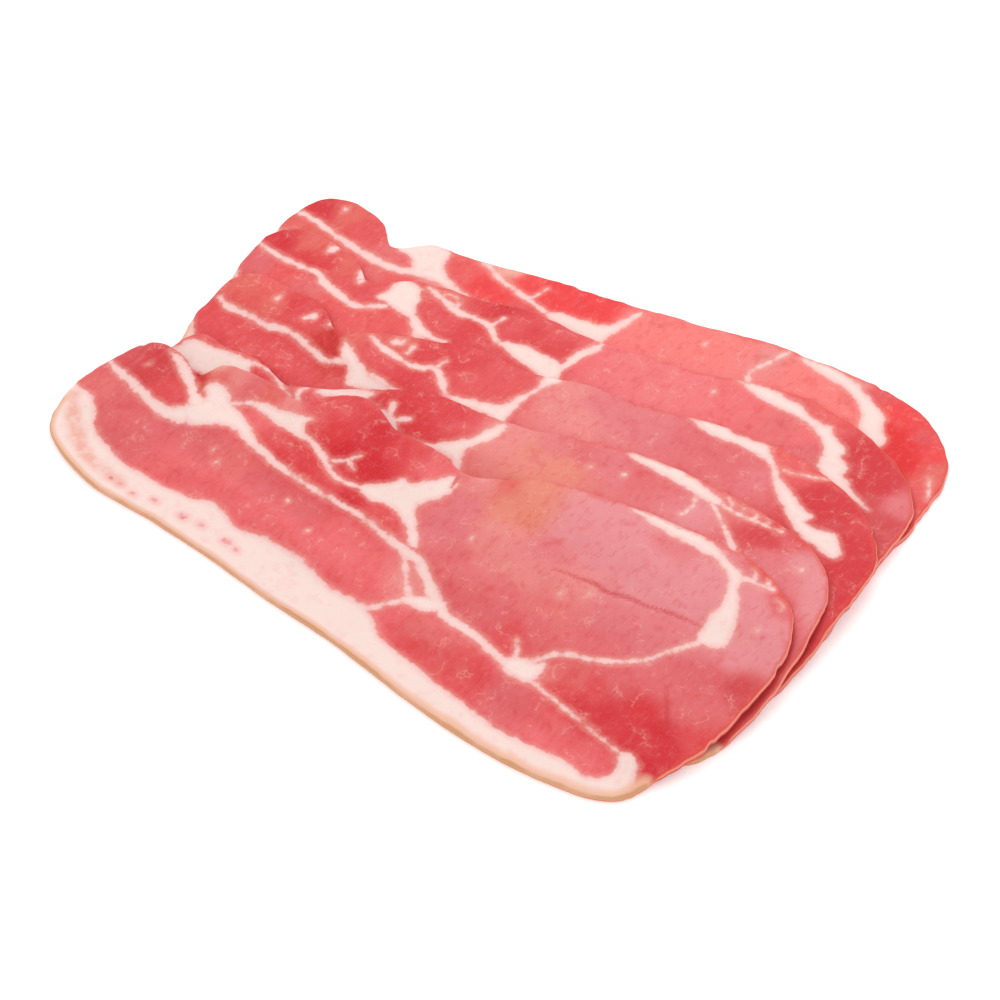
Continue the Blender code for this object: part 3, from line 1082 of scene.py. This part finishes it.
    def with_edges(self, wiring: Wiring, place: Socket, colour: Socket) -> Socket:
        """Adds the tan rind with yellower fat next to it, and reddens the cut edge of the eye end, with a
        painted highlight along its top line.

        Args:
            wiring: Where the nodes go.
            place: The piece's own millimetres.
            colour: The colour of the meat and the fat.

        Returns:
            The colour of the whole slice.
        """
        depth = wiring.wander(wiring.mark("rind"), wiring.noise(place, self.rind_cloud), self.edge_wander)
        colour = wiring.stained(colour, self.old_fat, depth)
        colour = wiring.stained(colour, self.rind, depth)
        lip = wiring.mark("lip")
        depth = wiring.wander(lip, wiring.noise(place, self.lip_cloud), self.edge_wander)
        colour = wiring.stained(colour, self.lip, depth)
        return wiring.stained(colour, self.lip_highlight, wiring.sum("ABSOLUTE", lip))


@dataclass
class RasherPiece:
    """One slice of bacon, modelled over its plain solid. Lengths are in millimetres."""

    # What the mesh carries for its finish.
    SHOWN: ClassVar = ("fat", "crease", "stale", "rind", "lip", "seat", "lean")

    # Where the rind starts and ends, in the rasher's own frame.
    RIND_START: ClassVar = (-136, -58)
    RIND_END: ClassVar = (104, -60)

    # The stretches over which one thing gives way to another.
    PAST_RIND: ClassVar = (-72, -60)  # y: the stiff rind edge, the soft rest
    INTO_EYE: ClassVar = (-20, 20)  # x: no lip, the eye end's lip
    INTO_LOIN: ClassVar = (-20, 60)  # x: the thin rind of the streaky end, the thick rind
    INTO_BACK: ClassVar = (55, 70)  # -y: the lip, the back fat, which has none
    INTO_TIP: ClassVar = (60, 130)  # -x: the flat middle, the lifted tip of the streaky end
    INTO_CREASE: ClassVar = (-0.8, 0.6)  # depth in a crease: beside it, inside

    # Uneven edges and tops.
    NICKS: ClassVar = Ripple(2.5, 0.21, 0)
    BAYS: ClassVar = Ripple(7, 0.35, 1)
    HUMPS: ClassVar = (Ripple(9, 0.14, 2), Ripple(4, 0.07, 3), Ripple(1.5, 0.02, 5))
    FLUTTER: ClassVar = Ripple(14, 0.2, 4)
    STRIDE: ClassVar = 37  # from a seed's finish to the next one's

    node: str
    anatomy: Anatomy
    seed: int
    eye_tip: float
    above: "RasherPiece | None" = None
    cell: float = 0.65  # of the mesh
    over_cell: float = 1.5  # along the edge of the slice above
    rind_cell: float = 2.0  # along the rind
    snap: float = 0.51  # share of a cell, within which a point is drawn onto the edge
    rim: float = 0.24  # of finer cells round the edge
    rounding: float = 0.7  # of the upper edge
    under_rounding: float = 0.8  # of the lower edge, as a share of that
    rind_wear: float = 0.3  # of the rind edge, as a share of the soft edge's
    thin_rind: float = 0.8  # how much less rind the streaky end has
    bulge: float = 0.16  # of the meat between seams
    bulge_run: float = 2.5  # from a seam to the full bulge
    groove: float = 0.22  # of a crease
    lift: float = 0.3  # of the streaky end's rim
    tuck: float = 3.0  # from the foot of the slice above to the full relief
    narrow: float = 0.7  # of a fleck or speck, which is longer one way
    speck_rim: float = 0.35  # of fat over a speck
    speck_depth: float = 0.1  # of a speck's meat
    cleft: float = 2.0  # how steeply a crease parts the fat
    under_lip: float = 1.0  # how far the underside is past the lip's top line
    blend: float = 3.0  # round the middle of a coloured area
    bedding: Bedding = field(init=False)
    origin: np.ndarray = field(init=False)

    def __post_init__(self) -> None:
        """Reads where the plain solid lies."""
        low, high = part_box(self.node)
        self.bedding = Bedding(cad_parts[self.node])
        self.origin = np.array((high.x / MM - self.eye_tip, low.y / MM - RIND_LINE))

    def outline(self, spacing: float) -> np.ndarray:
        """Draws the plain solid's smooth edge, as points with some spacing."""
        return smooth_line(self.bedding.outline, True, spacing)

    def edge(self) -> np.ndarray:
        """Draws the slice's edge, slightly worn.

        Returns:
            The edge's points.
        """
        loop = self.outline(self.cell)
        run = np.roll(loop, -1, axis=0) - np.roll(loop, 1, axis=0)
        outwards = np.column_stack([run[:, 1], -run[:, 0]]) / np.linalg.norm(run, axis=1)[:, None]
        wear = self.NICKS.over(loop, self.seed) + self.BAYS.over(loop, self.seed)
        soft_side = ease(loop[:, 1] - self.origin[1], *self.PAST_RIND)
        wear *= self.rind_wear + (1 - self.rind_wear) * soft_side
        return loop + outwards * wear[:, None]

    def sheet(self, loop: np.ndarray) -> bmesh.types.BMesh:
        """Cuts a flat sheet of small cells to the slice's edge.

        Args:
            loop: The edge's points.

        Returns:
            The flat sheet.
        """
        low, high = loop.min(axis=0) - self.cell, loop.max(axis=0) + self.cell
        middle, half = (low + high) / 2, (high - low) / 2
        count = np.ceil(2 * half / self.cell).astype(int)
        placing = Matrix.Translation((*middle, 0)) @ Matrix.Diagonal((*half, 1, 1))
        sheet = bmesh.new()
        bmesh.ops.create_grid(
            sheet, x_segments=int(count[0]), y_segments=int(count[1]), size=1, matrix=placing
        )
        places = np.array([vertex.co.xy for vertex in sheet.verts])
        depth, nearest = Spots(places).in_loop(loop)
        side = np.where(np.abs(depth) < self.cell * self.snap, 0, np.sign(depth)).astype(int)
        sheet.verts.ensure_lookup_table()
        for index in np.flatnonzero(side == 0):
            sheet.verts[index].co.xy = nearest[index]
        spare = []
        for face in list(sheet.faces):
            sides = [side[vertex.index] for vertex in face.verts]
            if 1 not in sides:
                spare.append(face)
            elif -1 in sides:
                turn = sides.index(-1)
                corners = face.verts[turn - 1], face.verts[(turn + 1) % len(sides)]
                bmesh.utils.face_split(face, *corners)
        outside = [vertex for vertex in sheet.verts if side[vertex.index] < 0]
        bmesh.ops.delete(sheet, geom=spare, context="FACES")
        outside = [vertex for vertex in outside if vertex.is_valid]
        bmesh.ops.delete(sheet, geom=outside, context="VERTS")
        loose = [vertex for vertex in sheet.verts if not vertex.link_faces]
        bmesh.ops.delete(sheet, geom=loose, context="VERTS")
        return sheet

    def slice(self) -> bpy.types.Mesh:
        """Gives the sheet its thickness and lays it where the solid lies.

        Returns:
            The finished mesh, with the numbers and colours that the finish reads.
        """
        loop = self.edge()
        sheet = self.sheet(loop)
        raised = 1.0  # until heights() puts both sheets in their places
        bmesh.ops.inset_region(
            sheet, faces=sheet.faces[:], thickness=self.rim, use_boundary=True, use_even_offset=True
        )
        grown = bmesh.ops.extrude_face_region(sheet, geom=sheet.faces[:], use_keep_orig=True)
        upper = [item for item in grown["geom"] if isinstance(item, bmesh.types.BMVert)]
        bmesh.ops.translate(sheet, verts=upper, vec=(0, 0, raised))
        bmesh.ops.recalc_face_normals(sheet, faces=sheet.faces[:])
        mesh = bpy.data.meshes.new(self.node + "_meat")
        sheet.to_mesh(mesh)
        sheet.free()
        flat = np.zeros(len(mesh.vertices) * 3)
        mesh.vertices.foreach_get("co", flat)
        flat = flat.reshape(-1, 3)
        decimals = 4  # in which points over each other agree
        places, which = np.unique(np.round(flat[:, :2], decimals), axis=0, return_inverse=True)
        which = which.ravel()
        is_top = flat[:, 2] > raised / 2
        marks = self.marks(places, loop)
        top, under = self.heights(places, marks)
        heights = np.where(is_top, top[which], under[which])
        mesh.vertices.foreach_set("co", (np.column_stack([places[which], heights]) * MM).ravel())
        for name in self.SHOWN:
            values = marks[name][which]
            if name == "lip":
                values = np.where(is_top, values, np.minimum(values, 0) - self.under_lip)
            kind, slot = ("FLOAT", "value") if values.ndim == 1 else ("FLOAT_COLOR", "color")
            attribute = mesh.attributes.new(name, kind, "POINT")
            attribute.data.foreach_set(slot, values.astype(np.float32).ravel())
        mesh.shade_smooth()
        return mesh

    def marks(self, places: np.ndarray, loop: np.ndarray) -> dict[str, np.ndarray]:
        """Works out what the finish and the relief need at each point.

        Args:
            places: The points seen from above.
            loop: The slice's edge.

        Returns:
            Depths in millimetres, above 0 inside the fat, a crease or stale fat; distances from the
            whole edge, from the rind, from the cut eye end and from the slice above; and the colour
            of the meat.
        """
        local = places - self.origin
        spots = Spots(local)
        x, y = local.T
        anatomy = self.anatomy
        fat = [spots.in_line(seam) for seam in anatomy.seams]
        fat += [spots.in_patch(patch) for patch in anatomy.patches]
        for fleck_x, fleck_y, reach in anatomy.flecks:
            fat.append(reach - np.hypot(x - fleck_x, (y - fleck_y) * self.narrow))
        fat = np.clip(np.max(fat, axis=0), -FAR, FAR)
        for speck_x, speck_y, reach in anatomy.specks:
            hole = np.hypot((x - speck_x) * self.narrow, y - speck_y) - reach + self.speck_rim
            fat = np.minimum(fat, np.maximum(hole, -self.speck_depth))
        nothing = np.full(len(local), -FAR)
        crease = np.max([nothing, *(spots.in_line(line) for line in anatomy.creases)], axis=0)
        edge = spots.in_loop(loop - self.origin)[0]
        seat = -nothing
        if self.above:
            seat = -spots.in_loop(self.above.outline(self.over_cell) - self.origin)[0]
        return {
            "fat": np.minimum(fat, -self.cleft * crease),
            "crease": crease,
            "stale": spots.in_line(anatomy.stale) if anatomy.stale else nothing,
            "edge": edge,
            "rind": self.from_rind(spots),
            "lip": edge + FAR * (1 - ease(x, *self.INTO_EYE)) + FAR * ease(-y, *self.INTO_BACK),
            "seat": seat,
            "lean": self.lean(local),
        }

    def from_rind(self, spots: Spots) -> np.ndarray:
        """Measures how far each point is from the rind, which is only on the near edge.

        Args:
            spots: The points in the rasher's own frame.

        Returns:
            The distances, stretched where the rind is thin.
        """
        loop = self.outline(self.rind_cell) - self.origin
        start, end = (
            np.argmin(np.linalg.norm(loop - corner, axis=1)) for corner in (self.RIND_START, self.RIND_END)
        )
        rind = np.roll(loop, -start, axis=0)[: (end - start) % len(loop) + 1]
        away = -spots.in_line(np.column_stack([rind, np.zeros(len(rind))]), softness=0.0)
        return away * (1 + self.thin_rind * (1 - ease(spots.restored(spots.x), *self.INTO_LOIN)))

    def lean(self, local: np.ndarray) -> np.ndarray:
        """Blends the meat's colours between the middles of its areas.

        Args:
            local: The points in the rasher's own frame.

        Returns:
            One linear colour for each point.
        """
        total = np.zeros((len(local), 4))
        weights = np.zeros(len(local))
        for tint in self.anatomy.tints:
            paint = np.array(DAYLIGHT.paint(tint.hue))
            for spot in tint.spots:
                weight = (((local - spot) ** 2).sum(axis=1) + self.blend**2) ** -2.0
                total += weight[:, None] * paint
                weights += weight
        return total / weights[:, None]

    def heights(self, places: np.ndarray, marks: dict[str, np.ndarray]) -> tuple[np.ndarray, np.ndarray]:
        """Works out how high the slice lies at every point.

        Args:
            places: The points seen from above.
            marks: What marks() gave for them.

        Returns:
            The heights of the upper side and of the underside, in millimetres.
        """
        local = places - self.origin
        low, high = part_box(LAST_NODE)
        thickness = (high.z - low.z) / MM
        bare = ease(marks["seat"], 0, self.tuck)
        inwards = np.clip(marks["edge"] / self.rounding, 0, 1)
        worn = self.rounding * (1 - np.sqrt(1 - (1 - inwards) ** 2))
        relief = sum(hump.over(local, self.seed) for hump in self.HUMPS)
        relief += self.bulge * np.tanh(-np.minimum(marks["fat"], 0) / self.bulge_run)
        relief -= self.groove * ease(marks["crease"], *self.INTO_CREASE)
        at_tip = ease(-local[:, 0], *self.INTO_TIP) * ease(-marks["edge"], -FAR, 0)
        curl = (self.lift + self.FLUTTER.over(local, self.seed)) * at_tip * bare
        top = self.bedding.height(places) + curl
        return top - worn + relief * bare, top - thickness + worn * self.under_rounding

    def build(self) -> bpy.types.Object:
        """Makes the slice and puts it on the part.

        Returns:
            The finished piece.
        """
        piece = bpy.data.objects.new(self.node + "_meat", self.slice())
        bpy.context.scene.collection.objects.link(piece)
        finish = BaconFinish(name=self.node + "_bacon", shift=self.seed * self.STRIDE)
        piece.data.materials.append(finish.material())
        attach(piece, "root")
        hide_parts(self.node)
        return piece


@dataclass
class Studio:
    """A white table in soft daylight, and the camera. Lengths are in metres."""

    aim: np.ndarray
    azimuth: float = 40.0
    elevation: float = 46.0
    distance: float = 0.8537
    lens: float = 100.8
    floor_size: float = 6.0
    floor_colour: Colour = (0.94, 0.935, 0.93, 1)
    floor_glow: float = 0.22
    lamp_place: tuple[float, float, float] = (-0.35, 0.75, 1.0)
    lamp_size: float = 0.9
    lamp_power: float = 5.0

    def floor(self) -> bpy.types.Object:
        """Lays the table's surface.

        Returns:
            The floor.
        """
        plane = bmesh.new()
        bmesh.ops.create_grid(plane, x_segments=1, y_segments=1, size=self.floor_size / 2)
        mesh = bpy.data.meshes.new("table")
        plane.to_mesh(mesh)
        plane.free()
        floor = bpy.data.objects.new("table", mesh)
        bpy.context.scene.collection.objects.link(floor)
        material = bpy.data.materials.new("white_table")
        wiring = Wiring(material)
        shader = wiring.add(
            "BsdfPrincipled",
            {
                "Base Color": self.floor_colour,
                "Roughness": 0.9,
                "Emission Color": (1, 1, 1, 1),
                "Emission Strength": self.floor_glow,
            },
        )
        wiring.add("OutputMaterial", {"Surface": shader.outputs[0]})
        mesh.materials.append(material)
        return floor

    def light(self) -> None:
        """Surrounds the table with white light, with a soft lamp behind it."""
        world = bpy.data.worlds.new("daylight")
        world.use_nodes = True
        background = world.node_tree.nodes["Background"]
        background.inputs["Color"].default_value = (1, 1, 1, 1)
        background.inputs["Strength"].default_value = 1
        bpy.context.scene.world = world
        lamp = bpy.data.lights.new("window", "AREA")
        lamp.shape = "DISK"
        lamp.size = self.lamp_size
        lamp.energy = self.lamp_power
        window = bpy.data.objects.new("window", lamp)
        window.location = self.lamp_place
        window.rotation_euler = (-window.location).to_track_quat("-Z", "Y").to_euler()
        bpy.context.scene.collection.objects.link(window)

    def camera(self) -> bpy.types.Object:
        """Aims the camera at the top slice.

        Returns:
            The camera.
        """
        lens = bpy.data.cameras.new("camera")
        lens.lens = self.lens
        lens.clip_start = 0.05
        camera = bpy.data.objects.new("camera", lens)
        turn, rise = math.radians(self.azimuth), math.radians(self.elevation)
        towards = Vector(
            (math.sin(turn) * math.cos(rise), -math.cos(turn) * math.cos(rise), math.sin(rise))
        )
        camera.location = Vector((*self.aim, 0)) + towards * self.distance
        camera.rotation_euler = (math.pi / 2 - rise, 0, turn)
        bpy.context.scene.collection.objects.link(camera)
        bpy.context.scene.camera = camera
        return camera

    def develop(self) -> None:
        """Shows colours as they are, with no film look."""
        view = bpy.context.scene.view_settings
        view.view_transform = "Standard"
        view.look = "None"
        view.exposure = 0
        view.gamma = 1


STACK = (  # each with x of the furthest point of its eye end, in its own frame
    ("rasher_1", TOP_SLICE, 110.3),
    ("rasher_2", SECOND_SLICE, 114.0),
    ("rasher_3", THIRD_SLICE, 115.3),
    ("rasher_4", FOURTH_SLICE, 115.0),
    ("rasher_5", BOTTOM_SLICE, 113.0),
)
LAST_NODE = STACK[-1][0]


def main() -> None:
    """Builds the rashers from the top one down, and the studio round them."""
    logging.basicConfig(level=logging.INFO, format="%(message)s")
    above = None
    for seed, (node, anatomy, eye_tip) in enumerate(STACK, start=1):
        rasher = RasherPiece(node, anatomy, seed * 10, eye_tip, above)
        piece = rasher.build()
        LOG.info("%s: %d faces", piece.name, len(piece.data.polygons))
        if above is None:
            studio = Studio(aim=rasher.origin * MM)
        above = rasher
    studio.floor()
    studio.light()
    studio.camera()
    studio.develop()


if __name__ == "__main__":
    main()
